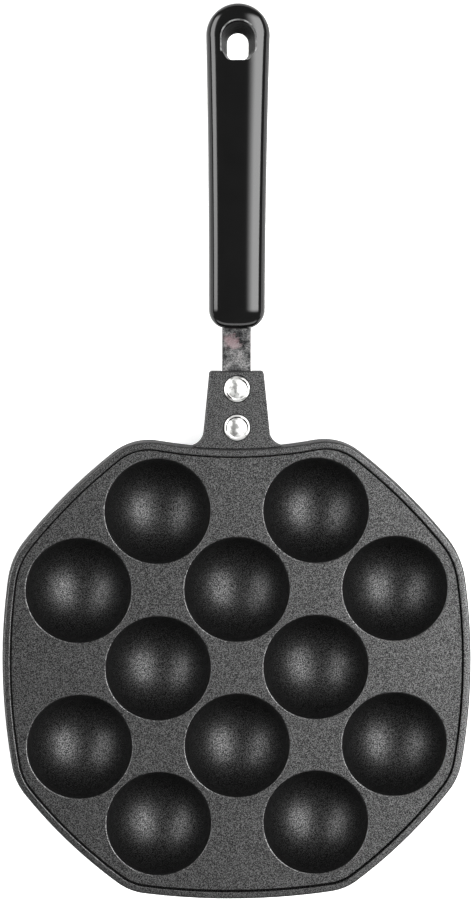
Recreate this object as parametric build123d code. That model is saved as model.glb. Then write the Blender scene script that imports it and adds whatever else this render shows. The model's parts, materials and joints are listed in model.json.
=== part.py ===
"""A takoyaki pan: a cast plate with twelve round cups and a riveted handle. Sizes in millimetres.

Every piece is made about the centre of the plate. The deck, the flat that the cups open into, is at
z = 0, and the handle runs along +Y. At the end all pieces move together, so that the origin is at
the bottom centre of the whole pan.
"""

from build123d import *
from math import acos, cos, radians, sin, sqrt, tan
import os

# Cups: odd places of a square grid of half pitches
CUP_PITCH = 30.4
CUP_RADIUS = 20.2
CUP_DEPTH = 20.0
CUP_LIP = 0.5
CUP_WALL = 3.4
CUP_FLOOR = 2.6
BUMP_STEPS = 3

# Plate: how far its eight corners stand out past the middle or the lip of the outer cups
HANDLE_CORNER_OUT = 8.0
HANDLE_CORNER_ACROSS = 8.5
NEAR_CORNER_OUT = 5.4
NEAR_CORNER_ALONG = 11.9
FAR_CORNER_OUT = 4.7
FAR_CORNER_ALONG = 13.3
END_CORNER_OUT = 6.1
END_CORNER_ACROSS = 11.4

# Plate: rise of each curved side over its chord, and the rounding of the corners between them
HANDLE_SIDE_DIP = 4.5
NEAR_SLANT_RISE = 2.6
FLANK_RISE = 4.0
FAR_SLANT_RISE = 2.5
END_SIDE_RISE = 3.3
HANDLE_CORNER_ROUND = 21.2
NEAR_CORNER_ROUND = 30.6
FAR_CORNER_ROUND = 25.0
END_CORNER_ROUND = 21.5

# Plate: section
DECK_THICK = 3.2
RIM_HEIGHT = 1.5
RIM_WIDTH = 2.7
SKIRT_DEEP = 6.5
SKIRT_DRAFT = 3.0
EDGE_BEVEL = 0.6

# Tab that carries the handle
TAB_LENGTH = 29.9
TAB_END_WIDTH = 20.8
TAB_FLARE = 5.8
TAB_ROOT_ROUND = 6.0
TAB_END_ROUND = 1.2
TAB_BELOW_RIM = 1.0
TAB_WEB = 3.5
TAB_EDGE_BEVEL = 0.4

# Rivets
RIVET_PITCH = 14.8
RIVET_INSET = 6.7
RIVET_SHANK = 2.5
RIVET_FLANGE_RADIUS = 4.95
RIVET_FLANGE_THICK = 0.8
RIVET_FLANGE_BEVEL = 0.4
RIVET_BUTTON_RADIUS = 3.8
RIVET_BUTTON_RISE = 0.5
RIVET_TAIL_RADIUS = 4.0
RIVET_TAIL_THICK = 1.6
RIVET_TAIL_BEVEL = 0.9
RIVET_CLEAR = 0.05

# Strap
STRAP_WIDTH = 11.0
STRAP_THICK = 2.5
STRAP_TAIL = 6.0
STRAP_TAIL_ROUND = 3.0
STRAP_EDGE_ROUND = 0.4
STRAP_LEAD = 2.5
STRAP_BEND = 16.0
STRAP_RISE = 8.0
STRAP_IN_GRIP = 58.0
STRAP_CLEAR = 0.3

# Grip
GRIP_GAP = 16.7
GRIP_LENGTH = 123.5
GRIP_WIDTH = 21.35
GRIP_HEIGHT = 15.0
GRIP_PARALLEL = 8.5
GRIP_SIDE_SWEEP = 4150.0
GRIP_END_ROUND = 7.4
GRIP_EDGE_ROUND = 7.2
SOCKET_CLEAR = 0.15
COLLAR_WIDTH = 15.0
COLLAR_HEIGHT = 8.4
COLLAR_ROUND = 2.4
COLLAR_SETBACK = 0.9

# Hang hole: the arched mouth on the grip's faces narrows to a window half-way through
HOLE_FROM_TIP = 22.2
MOUTH_WIDTH = 12.7
MOUTH_LENGTH = 15.6
MOUTH_FOOT = 8.6
WINDOW_WIDTH = 7.9
WINDOW_LENGTH = 10.2
WINDOW_FOOT = 5.6
FOOT_SLANT = 4.0

# Grip screw, from below into the tapped strap
SCREW_FROM_PAN_END = 26.0
SCREW_SHANK = 2.0
SCREW_HEAD_RADIUS = 3.5
SCREW_HEAD_THICK = 2.2
SCREW_HEAD_BEVEL = 0.8
SCREW_SEAT = 2.4
SCREW_PAST_STRAP = 1.5
SCREW_CLEAR = 0.05
SCREW_WELL_CLEAR = 0.4
CROSS_LENGTH = 3.8
CROSS_WIDTH = 0.9
CROSS_DEEP = 1.2

PAST = 5.0  # how far a cutting tool runs past what it cuts

CUP_PLACES = [
    (i * CUP_PITCH, j * CUP_PITCH) for i in range(-2, 3) for j in range(-2, 3) if (i + j) % 2
]
CUP_REACH = 2 * CUP_PITCH + CUP_RADIUS
CUP_BALL = (CUP_RADIUS**2 + CUP_DEPTH**2) / (2 * CUP_DEPTH)
BALL_CENTRE_Z = CUP_BALL - CUP_DEPTH
FOOT_Z = -(CUP_DEPTH + CUP_FLOOR)

# Front edge of the plate in the middle, where the tab starts
PLATE_FRONT_Y = CUP_REACH + HANDLE_CORNER_OUT - HANDLE_SIDE_DIP
TAB_END_Y = PLATE_FRONT_Y + TAB_LENGTH
TAB_TOP_Z = RIM_HEIGHT - TAB_BELOW_RIM
STRAP_TOP_Z = TAB_TOP_Z - TAB_WEB
STRAP_UNDER_Z = STRAP_TOP_Z - STRAP_THICK
STRAP_MID_Z = STRAP_TOP_Z - STRAP_THICK / 2
FRONT_RIVET_Y = TAB_END_Y - RIVET_INSET
REAR_RIVET_Y = FRONT_RIVET_Y - RIVET_PITCH
STRAP_TAIL_Y = REAR_RIVET_Y - STRAP_TAIL

# Where the strap's middle line meets the pan end of the grip, and the grip's frame there:
# its X runs along the grip, its Y across, and its Z out of the grip's upper face
BEND_START_Y = TAB_END_Y + STRAP_LEAD
BEND_RUN = STRAP_BEND * sin(radians(STRAP_RISE))
BEND_LIFT = STRAP_BEND * (1 - cos(radians(STRAP_RISE)))
GRIP_Y = TAB_END_Y + GRIP_GAP
GRIP_Z = STRAP_MID_Z + BEND_LIFT + (GRIP_Y - BEND_START_Y - BEND_RUN) * tan(radians(STRAP_RISE))
GRIP_FRAME = Plane(
    origin=(0, GRIP_Y, GRIP_Z),
    x_dir=(0, cos(radians(STRAP_RISE)), sin(radians(STRAP_RISE))),
    z_dir=(0, -sin(radians(STRAP_RISE)), cos(radians(STRAP_RISE))),
)
SCREW_SEAT_Z = -STRAP_THICK / 2 - SOCKET_CLEAR - SCREW_SEAT
SCREW_WELL = SCREW_HEAD_RADIUS + SCREW_WELL_CLEAR


def curved_side(start, end, rise):
    """The side from one corner to the next, clockwise, that rises outwards over its chord."""
    start, end = Vector(*start), Vector(*end)
    along = (end - start).normalized()
    middle = (start + end) * 0.5 + Vector(-along.Y, along.X) * rise
    return ThreePointArc(start, middle, end)


def plate_outline(inset=0.0):
    """The plate's octagon with its corners rounded, drawn in by inset."""
    handle = (CUP_PITCH + HANDLE_CORNER_ACROSS, CUP_REACH + HANDLE_CORNER_OUT)
    near = (CUP_REACH + NEAR_CORNER_OUT, CUP_PITCH + NEAR_CORNER_ALONG)
    far = (CUP_REACH + FAR_CORNER_OUT, -CUP_PITCH - FAR_CORNER_ALONG)
    end = (CUP_PITCH + END_CORNER_ACROSS, -CUP_REACH - END_CORNER_OUT)
    right = [handle, near, far, end]
    corners = right + [(-x, y) for x, y in reversed(right)]
    rises = [NEAR_SLANT_RISE, FLANK_RISE, FAR_SLANT_RISE, END_SIDE_RISE]
    rises += [FAR_SLANT_RISE, FLANK_RISE, NEAR_SLANT_RISE, -HANDLE_SIDE_DIP]
    rounds = [HANDLE_CORNER_ROUND, NEAR_CORNER_ROUND, FAR_CORNER_ROUND, END_CORNER_ROUND]
    sides = [curved_side(a, b, r) for a, b, r in zip(corners, corners[1:] + corners[:1], rises)]
    outline = make_face(Wire(sides))
    for (x, y), radius in zip(right, rounds):
        pair = [outline.vertices().sort_by_distance((side, y))[0] for side in (-x, x)]
        outline = fillet(pair, radius)
    return drawn_in(outline, inset) if inset else outline


def drawn_in(outline, inset):
    """A smooth outline of arcs about the origin, with every arc moved inwards by inset."""
    arcs = []
    for arc in outline.edges():
        points = []
        for share in (0, 0.5, 1):
            point, along = arc @ share, arc % share
            across = Vector(-along.Y, along.X) * inset
            points.append(point - across if across.dot(point) > 0 else point + across)
        arcs.append(ThreePointArc(*points))
    return make_face(Wire(arcs))


def plate():
    """The plate with its raised rim, drafted skirt and hollow underside."""
    block = Pos(Z=RIM_HEIGHT) * extrude(plate_outline(), -RIM_HEIGHT - SKIRT_DEEP)
    walls = block.faces().filter_by(GeomType.CYLINDER)
    body = draft(walls, Plane.XY.offset(RIM_HEIGHT), SKIRT_DRAFT)
    body = chamfer(body.edges().group_by(Axis.Z)[-1], EDGE_BEVEL)
    body -= extrude(plate_outline(RIM_WIDTH), RIM_HEIGHT + PAST)
    body -= Pos(Z=-DECK_THICK) * extrude(plate_outline(RIM_WIDTH), -SKIRT_DEEP - PAST)
    return body


def bump():
    """The outside of one cup: it tapers in from the deck, in a few straight steps, to a flat foot."""
    ball = CUP_BALL + CUP_WALL
    top = acos((BALL_CENTRE_Z + DECK_THICK / 2) / ball)
    bottom = acos((BALL_CENTRE_Z - FOOT_Z) / ball)
    turns = [bottom + (top - bottom) * step / BUMP_STEPS for step in range(BUMP_STEPS + 1)]
    corners = [(ball * sin(turn), BALL_CENTRE_Z - ball * cos(turn)) for turn in turns]
    outline = Polyline((0, -DECK_THICK / 2), (0, FOOT_Z), *corners, close=True)
    return revolve(Plane.XZ * make_face(outline), Axis.Z)


def hollow():
    """The inside of one cup, a bowl with a broken lip, up past the rim."""
    throat = sqrt(CUP_BALL**2 - (BALL_CENTRE_Z + CUP_LIP) ** 2)
    mouth = CUP_RADIUS + CUP_LIP
    outline = Wire(
        [
            Line((0, RIM_HEIGHT), (0, -CUP_DEPTH)),
            RadiusArc((0, -CUP_DEPTH), (throat, -CUP_LIP), -CUP_BALL),
            Line((throat, -CUP_LIP), (mouth, 0)),
            Line((mouth, 0), (mouth, RIM_HEIGHT)),
            Line((mouth, RIM_HEIGHT), (0, RIM_HEIGHT)),
        ]
    )
    return revolve(Plane.XZ * make_face(outline), Axis.Z)


def tab():
    """The tab, flared into the plate's front wall, with a channel below that holds the strap."""
    half_end = TAB_END_WIDTH / 2
    half_root = half_end + TAB_FLARE / 2
    root_y = PLATE_FRONT_Y - RIM_WIDTH
    half_base = half_root + TAB_FLARE / 2 * RIM_WIDTH / TAB_LENGTH
    blade = make_face(
        Polyline(
            (half_end, TAB_END_Y),
            (half_base, root_y),
            (-half_base, root_y),
            (-half_end, TAB_END_Y),
            close=True,
        )
    )
    blade = fillet(blade.vertices().group_by(Axis.Y)[-1], TAB_END_ROUND)
    shape = plate_outline() + blade
    corners = shape.vertices()
    crotches = [corners.sort_by_distance((x, PLATE_FRONT_Y))[0] for x in (-half_root, half_root)]
    shape = fillet(crotches, TAB_ROOT_ROUND)
    reach = half_root + 1.5 * TAB_ROOT_ROUND
    shape &= Pos(0, TAB_END_Y) * Rectangle(2 * reach, 2 * (TAB_END_Y - root_y))
    shape -= plate_outline(RIM_WIDTH / 2)
    block = Pos(Z=STRAP_UNDER_Z) * extrude(shape, TAB_TOP_Z - STRAP_UNDER_Z)
    upper = block.edges().group_by(Axis.Z)[-1]
    free = upper.sort_by(Axis.Y)[-7:]  # the end, its two corners, the sides and the crotches
    return chamfer(free, TAB_EDGE_BEVEL)


def strap_channel():
    """What the tab leaves free for the strap, from below."""
    width = STRAP_WIDTH + 2 * STRAP_CLEAR
    length = TAB_END_Y + PAST - STRAP_TAIL_Y + STRAP_CLEAR
    middle = STRAP_TAIL_Y - STRAP_CLEAR + length / 2
    channel = Pos(0, middle) * RectangleRounded(width, length, STRAP_TAIL_ROUND)
    return Pos(Z=STRAP_TOP_Z) * extrude(channel, -STRAP_THICK - PAST)


def rivet_hole(y):
    """The drilled hole for one rivet, through the tab and the strap."""
    hole = Cylinder(RIVET_SHANK + RIVET_CLEAR, 2 * PAST + TAB_TOP_Z - STRAP_UNDER_Z)
    return Pos(0, y, (TAB_TOP_Z + STRAP_UNDER_Z) / 2) * hole


def pan_body():
    """The casting: plate, tab, twelve bumps, then the hollows and holes."""
    body = plate() + tab()
    body += [Pos(x, y) * bump() for x, y in CUP_PLACES]
    body -= [Pos(x, y) * hollow() for x, y in CUP_PLACES]
    return body - strap_channel() - rivet_hole(FRONT_RIVET_Y) - rivet_hole(REAR_RIVET_Y)


def rivet(y):
    """Flanged rivet: round flange with a raised button above, formed tail below the strap."""
    flange_z = TAB_TOP_Z + RIVET_FLANGE_THICK
    button_z = flange_z + RIVET_BUTTON_RISE
    tail_z = STRAP_UNDER_Z - RIVET_TAIL_THICK
    profile = make_face(
        Polyline(
            (0, tail_z),
            (RIVET_TAIL_RADIUS, tail_z),
            (RIVET_TAIL_RADIUS, STRAP_UNDER_Z),
            (RIVET_SHANK, STRAP_UNDER_Z),
            (RIVET_SHANK, TAB_TOP_Z),
            (RIVET_FLANGE_RADIUS, TAB_TOP_Z),
            (RIVET_FLANGE_RADIUS, flange_z),
            (RIVET_BUTTON_RADIUS, flange_z),
            (RIVET_BUTTON_RADIUS, button_z),
            (0, button_z),
            close=True,
        )
    )
    tail_corner = profile.vertices().sort_by_distance((RIVET_TAIL_RADIUS, tail_z))[0]
    profile = chamfer(tail_corner, RIVET_TAIL_BEVEL)
    flange_corner = profile.vertices().sort_by_distance((RIVET_FLANGE_RADIUS, flange_z))[0]
    profile = chamfer(flange_corner, RIVET_FLANGE_BEVEL)
    return Pos(0, y) * revolve(Plane.XZ * profile, Axis.Z)


def handle_strap():
    """Steel strip, flat under the tab, bent up once and straight on into the grip."""
    flat = Line((STRAP_TAIL_Y, STRAP_MID_Z), (BEND_START_Y, STRAP_MID_Z))
    bend = JernArc(flat @ 1, flat % 1, STRAP_BEND, STRAP_RISE)
    end = Vector(GRIP_Y, GRIP_Z) + Vector(1, 0).rotate(Axis.Z, STRAP_RISE) * STRAP_IN_GRIP
    path = Plane.YZ * Wire([flat, bend, Line(bend @ 1, end)])
    section = RectangleRounded(STRAP_WIDTH, STRAP_THICK, STRAP_EDGE_ROUND)
    start = Plane(origin=path @ 0, x_dir=(1, 0, 0), z_dir=path % 0)
    strip = sweep(start * section, path)
    tail = Pos(0, STRAP_TAIL_Y) * Rectangle(STRAP_WIDTH + PAST, 2 * STRAP_TAIL_ROUND)
    rounded = Pos(0, STRAP_TAIL_Y + PAST) * RectangleRounded(STRAP_WIDTH, 2 * PAST, STRAP_TAIL_ROUND)
    strip -= extrude(tail - rounded, PAST + STRAP_THICK - STRAP_MID_Z, both=True)
    strip -= GRIP_FRAME * (Pos(SCREW_FROM_PAN_END) * Cylinder(SCREW_SHANK + SCREW_CLEAR, 2 * PAST))
    return strip - rivet_hole(FRONT_RIVET_Y) - rivet_hole(REAR_RIVET_Y)


def arched_outline(width, length, foot_width, slant):
    """Hang hole outline: round towards the tip, flat foot with slanted corners towards the pan."""
    half, half_foot = width / 2, foot_width / 2
    shoulder = length - half
    edges = [
        Line((0, -half_foot), (0, half_foot)),
        Line((0, half_foot), (slant, half)),
        Line((slant, half), (shoulder, half)),
        ThreePointArc((shoulder, half), (length, 0), (shoulder, -half)),
        Line((shoulder, -half), (slant, -half)),
        Line((slant, -half), (0, -half_foot)),
    ]
    return make_face(Wire(edges))


def hang_hole():
    """The hole's upper half is lofted from the window in the middle to the mouth at the crown."""
    crown = GRIP_HEIGHT / 2
    window_slant = FOOT_SLANT * WINDOW_LENGTH / MOUTH_LENGTH
    window = arched_outline(WINDOW_WIDTH, WINDOW_LENGTH, WINDOW_FOOT, window_slant)
    mouth = Pos(Z=crown) * arched_outline(MOUTH_WIDTH, MOUTH_LENGTH, MOUTH_FOOT, FOOT_SLANT)
    upper = loft([window, mouth], ruled=True) + extrude(mouth, PAST)
    return Pos(GRIP_LENGTH - HOLE_FROM_TIP) * (upper + mirror(upper, Plane.XY))


def grip_form():
    """The grip: waisted plan outline with a round tip, as a bar rounded to an oval section."""
    half, sweep = GRIP_WIDTH / 2, GRIP_SIDE_SWEEP
    run = GRIP_LENGTH - GRIP_PARALLEL
    tip = (run**2 + half**2 + 2 * half * sweep) / (2 * (sweep + run))
    centre = Vector(GRIP_PARALLEL, half + sweep)
    touch = centre + (Vector(GRIP_LENGTH - tip, 0) - centre).normalized() * sweep
    middle = centre + Vector((touch - centre).X / 2, -sweep).normalized() * sweep
    outline = make_face(
        Wire(
            [
                Line((0, -half), (0, half)),
                Line((0, half), (GRIP_PARALLEL, half)),
                ThreePointArc((GRIP_PARALLEL, half), middle, touch),
                ThreePointArc(touch, (GRIP_LENGTH, 0), (touch.X, -touch.Y)),
                ThreePointArc((touch.X, -touch.Y), (middle.X, -middle.Y), (GRIP_PARALLEL, -half)),
                Line((GRIP_PARALLEL, -half), (0, -half)),
            ]
        )
    )
    outline = fillet(outline.vertices().group_by(Axis.X)[0], GRIP_END_ROUND)
    bar = extrude(outline, GRIP_HEIGHT / 2, both=True)
    edges = bar.edges().group_by(Axis.Z)
    return fillet(edges[0] + edges[-1], GRIP_EDGE_ROUND)


def screw_room():
    """Well, shank hole and blind relief for the grip screw, from below."""
    below = (Align.CENTER, Align.CENTER, Align.MAX)
    top = STRAP_THICK / 2 + SCREW_PAST_STRAP + SCREW_WELL_CLEAR
    well = Cylinder(SCREW_WELL, 2 * PAST, align=below)
    hole = Cylinder(SCREW_SHANK + SCREW_WELL_CLEAR, top - SCREW_SEAT_Z, align=below)
    return Pos(SCREW_FROM_PAN_END) * (Pos(Z=SCREW_SEAT_Z) * well + Pos(Z=top) * hole)


def handle_grip():
    """Moulded phenolic grip with its socket collar, hang hole, strap socket and screw well."""
    collar_end = Plane(origin=(COLLAR_SETBACK, 0, 0), x_dir=(0, 1, 0), z_dir=(1, 0, 0))
    collar = extrude(
        collar_end * RectangleRounded(COLLAR_WIDTH, COLLAR_HEIGHT, COLLAR_ROUND),
        GRIP_END_ROUND + PAST,
    )
    socket = Pos(-PAST) * Box(
        PAST + STRAP_IN_GRIP + SOCKET_CLEAR,
        STRAP_WIDTH + 2 * SOCKET_CLEAR,
        STRAP_THICK + 2 * SOCKET_CLEAR,
        align=(Align.MIN, Align.CENTER, Align.CENTER),
    )
    return GRIP_FRAME * (grip_form() + collar - hang_hole() - socket - screw_room())


def grip_screw():
    """Pan-head screw with a cross recess, up through the grip into the strap."""
    below = (Align.CENTER, Align.CENTER, Align.MAX)
    shank_top = STRAP_THICK / 2 + SCREW_PAST_STRAP
    shank = Pos(Z=shank_top) * Cylinder(SCREW_SHANK, shank_top - SCREW_SEAT_Z, align=below)
    head = Cylinder(SCREW_HEAD_RADIUS, SCREW_HEAD_THICK, align=below)
    head = chamfer(head.edges().group_by(Axis.Z)[0], SCREW_HEAD_BEVEL)
    arm = Box(CROSS_LENGTH, CROSS_WIDTH, CROSS_DEEP)
    cross = Pos(Z=-SCREW_HEAD_THICK + CROSS_DEEP / 2) * (arm + Rot(Z=90) * arm)
    screw = shank + Pos(Z=SCREW_SEAT_Z) * (head - cross)
    return GRIP_FRAME * (Pos(SCREW_FROM_PAN_END) * screw)


pieces = {
    "pan_body": pan_body(),
    "front_rivet": rivet(FRONT_RIVET_Y),
    "rear_rivet": rivet(REAR_RIVET_Y),
    "handle_strap": handle_strap(),
    "handle_grip": handle_grip(),
    "grip_screw": grip_screw(),
}
box = Compound(list(pieces.values())).bounding_box()
to_bottom_centre = Pos(-box.center().X, -box.center().Y, -box.min.Z)

os.makedirs("parts", exist_ok=True)
for name, piece in pieces.items():
    export_step(to_bottom_centre * piece, f"parts/{name}.step")
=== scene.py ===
"""A takoyaki pan in a plain studio: the looks of its pieces, on the frame that the CAD gives.

Shapes are drawn in millimetres about the centre of the plate, with the deck at z = 0 and the handle
along +Y, and each one goes into the frame, in metres, when it is finished.
"""

import json
from math import acos, asin, atan2, copysign, cos, degrees, pi, radians, sin, sqrt, tan

import bmesh
import bpy
from mathutils import Matrix, Vector


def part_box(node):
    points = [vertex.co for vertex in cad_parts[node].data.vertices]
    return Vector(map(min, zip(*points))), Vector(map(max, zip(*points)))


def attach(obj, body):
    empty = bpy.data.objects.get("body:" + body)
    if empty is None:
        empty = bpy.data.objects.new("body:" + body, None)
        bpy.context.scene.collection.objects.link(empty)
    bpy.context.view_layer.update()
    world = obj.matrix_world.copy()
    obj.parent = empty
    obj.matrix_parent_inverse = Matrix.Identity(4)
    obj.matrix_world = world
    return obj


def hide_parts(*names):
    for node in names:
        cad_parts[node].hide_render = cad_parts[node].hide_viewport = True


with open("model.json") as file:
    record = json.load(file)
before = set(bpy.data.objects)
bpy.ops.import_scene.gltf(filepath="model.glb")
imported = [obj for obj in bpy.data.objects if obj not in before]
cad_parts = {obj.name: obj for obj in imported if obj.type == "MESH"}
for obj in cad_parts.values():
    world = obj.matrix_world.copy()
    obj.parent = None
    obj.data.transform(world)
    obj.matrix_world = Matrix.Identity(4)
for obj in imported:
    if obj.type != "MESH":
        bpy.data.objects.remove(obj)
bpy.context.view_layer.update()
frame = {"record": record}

# ---- Pan casting -------------------------------------------------------------------------------
# One aluminium casting: an octagonal plate with a raised rim, a skirt below and a tab for the handle.
# The twelve cups stand out underneath as round bumps. It is sprayed with a dark non-stick coat, which
# stays grainy and grey on the flats and lies smoother and nearly black in the cups.

MM = 0.001
RIM_TOP = 1.5
RIM_WIDE = 2.7
RIM_FALL = 2.0  # degrees, outwards across the rim
RIM_EDGE_ROUND = 0.9
RIM_EDGE_DROP = 0.05
RIM_INNER_ROUND = 0.4
GROOVE_RADIUS = 0.26
GROOVE_CENTRE = (-RIM_WIDE - 0.4, 0.05)
DECK_UNDER = -3.2
DECK_UNDER_ROUND = 0.8
SKIRT_FOOT = -6.5
SKIRT_FOOT_ROUND = 0.6
SKIRT_DRAFT = 3.0

CUP_RADIUS = 20.2
CUP_DEPTH = 20.0
CUP_WALL = 3.4
CUP_COLUMN_PITCH = 30.4
LIP_ROUND = 0.5
LIP_LIFT = 0.004  # the lip's round ends this far above the deck, so that it crosses the deck cleanly
BUMP_FOOT = -22.6
BUMP_FOOT_ROUND = 2.5

# Corners of the plate on its right-hand side, from the handle round to the far end: place, then the
# rounding of the corner, then how far the side that follows it bows out over its chord
PLATE_CORNERS = [
    (38.9, 89.0, 21.2, 2.6),
    (86.4, 42.3, 30.6, 4.0),
    (85.7, -43.7, 25.0, 2.5),
    (41.8, -87.1, 21.5, 3.3),
]
HANDLE_SIDE_BOW = -4.5
PLATE_FRONT = 84.5

TAB_END = 114.4
TAB_END_HALF = 10.4
TAB_ROOT_HALF = 13.3
TAB_CORNER = 1.2
TAB_FILLET = 6.0
TAB_WING = 12.0  # how far the tab's root reaches along the plate, past the fillets
TAB_TOP = 0.5
TAB_TOP_ROUND = 0.4
TAB_LEAN = 0.1  # how far the tab's wall leans out, from under its top round to its foot
TAB_FOOT = -5.5
SEAM_START = 0.06  # out from the rim's outline
SEAM_END = 0.38
SEAM_FOOT = 0.1

STRAP_TOP = -3.0
STRAP_WIDE = 11.0
STRAP_CLEAR = 0.3
STRAP_TAIL = 86.9
STRAP_TAIL_ROUND = 3.0
RIVET_PLACES = {"front_rivet": (0, 107.7), "rear_rivet": (0, 92.9)}
RIVET_SHANK = 2.5
RIVET_CLEAR = 0.05
FLANGE_RADIUS = 4.95
FLANGE_LIFT = 0.2  # the middle of the flange's edge, over the tab
BITE_WIDE = 0.3
BITE_DEEP = 0.25

# The frame's place of the plate's centre, on the deck plane
casting_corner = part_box("pan_body")[1]
plate_centre = (0, casting_corner.y - TAB_END * MM, casting_corner.z - RIM_TOP * MM)
TO_FRAME = Matrix.Translation(plate_centre) @ Matrix.Scale(MM, 4)

cup_places = [
    ((Vector(hole["box_m"][0]) + Vector(hole["box_m"][1])) / 2 / MM - TO_FRAME.translation / MM).xy
    for hole in frame["record"]["physics"]["openings"]
    if hole["name"].endswith("_mouth")
]


def arc(centre, radius, start, end, steps):
    """Points along an arc, with both of its ends; the angles are in degrees."""
    turns = [radians(start + (end - start) * i / steps) for i in range(steps + 1)]
    return [Vector((centre[0] + radius * cos(a), centre[1] + radius * sin(a))) for a in turns]


def shortest_turn(start, end):
    """The end angle, in degrees, that is less than half a turn from the start."""
    return start + (end - start + 180) % 360 - 180


def heading(line):
    """The direction of a line, in degrees from +X towards +Y."""
    return degrees(atan2(line.y, line.x))


def plate_outline():
    """The plate's rounded octagon of bowed sides, clockwise from the handle."""
    right = [(Vector((x, y)), rounding) for x, y, rounding, _ in PLATE_CORNERS]
    left = [(Vector((-corner.x, corner.y)), rounding) for corner, rounding in reversed(right)]
    corners = right + left
    bows = [bow for *_, bow in PLATE_CORNERS]
    bows += list(reversed(bows[:-1])) + [HANDLE_SIDE_BOW]
    # each side is part of a wide circle, kept as its centre and a radius below 0 if it bows inwards
    sides = []
    for (start, _), (end, _), bow in zip(corners, corners[1:] + corners[:1], bows):
        chord = end - start
        radius = (chord.length_squared / 4 + bow**2) / (2 * bow)
        outward = Vector((-chord.y, chord.x)).normalized()
        sides.append(((start + end) / 2 + outward * (bow - radius), radius))
    # each corner's round touches the circles of both its sides from inside
    rounds = []
    for i, (corner, rounding) in enumerate(corners):
        (before, before_radius), (after, after_radius) = sides[i - 1], sides[i]
        gap = after - before
        reach_before, reach_after = abs(before_radius - rounding), abs(after_radius - rounding)
        along = (reach_before**2 - reach_after**2 + gap.length_squared) / (2 * gap.length)
        across = Vector((-gap.y, gap.x)).normalized() * sqrt(reach_before**2 - along**2)
        foot = before + gap.normalized() * along
        rounds.append((min(foot + across, foot - across, key=lambda c: (c - corner).length), rounding))
    points = []
    for i, (centre, radius) in enumerate(sides):
        corner, rounding = rounds[(i + 1) % len(rounds)]
        next_centre, next_radius = sides[(i + 1) % len(sides)]
        start = heading(rounds[i][0] - centre)
        end = shortest_turn(start, heading(corner - centre))
        points += arc(centre, abs(radius), start, end, 18)[:-1]
        start = heading((corner - centre) * (1 if radius > 0 else -1))
        end = heading((corner - next_centre) * (1 if next_radius > 0 else -1))
        points += arc(corner, rounding, start, shortest_turn(start, end), 12)[:-1]
    return points


def rounded(corners, steps=8):
    """A polygon's outline with its corners rounded, from corners of (x, y, radius)."""
    points = []
    for i, (x, y, radius) in enumerate(corners):
        here = Vector((x, y))
        before = (Vector(corners[i - 1][:2]) - here).normalized()
        after = (Vector(corners[(i + 1) % len(corners)][:2]) - here).normalized()
        if not radius:
            points.append(here)
            continue
        half = before.angle(after) / 2
        centre = here + (before + after).normalized() * radius / sin(half)
        start = heading(here + before * radius / tan(half) - centre)
        end = shortest_turn(start, heading(here + after * radius / tan(half) - centre))
        points += arc(centre, radius, start, end, steps)
    return points


def rounded_box(wide, high, radius, steps=8):
    """A box's outline about its middle, with its corners rounded."""
    corners = ((1, 1), (-1, 1), (-1, -1), (1, -1))
    return rounded([(x * wide / 2, y * high / 2, radius) for x, y in corners], steps)


def drawn_in(points, inset):
    """A closed outline moved inwards by inset, each point along the bisector of its corner."""
    turn = sum(a.x * b.y - b.x * a.y for a, b in zip(points, points[1:] + points[:1]))
    inward = 1 if turn > 0 else -1
    moved = []
    for i, here in enumerate(points):
        before = (here - points[i - 1]).normalized()
        after = (points[(i + 1) % len(points)] - here).normalized()
        normals = [Vector((-d.y, d.x)) * inward for d in (before, after)]
        middle = (normals[0] + normals[1]).normalized()
        moved.append(here + middle * inset / middle.dot(normals[0]))
    return moved


def at(ring, z):
    """A ring of points in the plane, at a height."""
    return [(p.x, p.y, z) for p in ring]


def new_object(name, mesh):
    """An object in the scene from a mesh that is done."""
    bmesh.ops.recalc_face_normals(mesh, faces=mesh.faces)
    data = bpy.data.meshes.new(name)
    mesh.to_mesh(data)
    mesh.free()
    piece = bpy.data.objects.new(name, data)
    bpy.context.scene.collection.objects.link(piece)
    return piece


def lofted(name, rings):
    """A closed skin through rings of as many points each, capped at both ends."""
    mesh = bmesh.new()
    loops = [[mesh.verts.new(p) for p in ring] for ring in rings]
    for lower, upper in zip(loops, loops[1:]):
        for i in range(len(lower)):
            mesh.faces.new((lower[i - 1], lower[i], upper[i], upper[i - 1]))
    mesh.faces.new(loops[0])
    mesh.faces.new(loops[-1])
    return new_object(name, mesh)


def turned(name, profile, places=((0, 0),), segments=96):
    """A solid of revolution at each place, from (radius, height) points that end on the axis."""
    mesh = bmesh.new()
    spokes = [(cos(2 * pi * i / segments), sin(2 * pi * i / segments)) for i in range(segments)]
    for x, y in places:
        loops = [[mesh.verts.new((x + r * c, y + r * s, z)) for c, s in spokes] for r, z in profile[1:-1]]
        for lower, upper in zip(loops, loops[1:]):
            for i in range(segments):
                mesh.faces.new((lower[i - 1], lower[i], upper[i], upper[i - 1]))
        for loop, (_, z) in ((loops[0], profile[0]), (loops[-1], profile[-1])):
            pole = mesh.verts.new((x, y, z))
            for i in range(segments):
                mesh.faces.new((loop[i - 1], loop[i], pole))
    return new_object(name, mesh)


def baked(piece):
    """Turns the piece's modifiers into its mesh."""
    bpy.context.view_layer.update()
    seen = piece.evaluated_get(bpy.context.evaluated_depsgraph_get())
    shape = bpy.data.meshes.new_from_object(seen)
    piece.modifiers.clear()
    piece.data = shape


def merge(piece, tool, how, finish=0):
    """Joins the tool to the piece, or cuts it out. Faces that the tool leaves on the piece get the
    finish at this place in the piece's list, or keep the ones that they have. The tool goes."""
    if finish:
        tool.data.polygons.foreach_set("material_index", [finish] * len(tool.data.polygons))
    step = piece.modifiers.new(how, "BOOLEAN")
    step.operation, step.solver, step.object = how, "MANIFOLD", tool
    baked(piece)
    bpy.data.objects.remove(tool)


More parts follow.
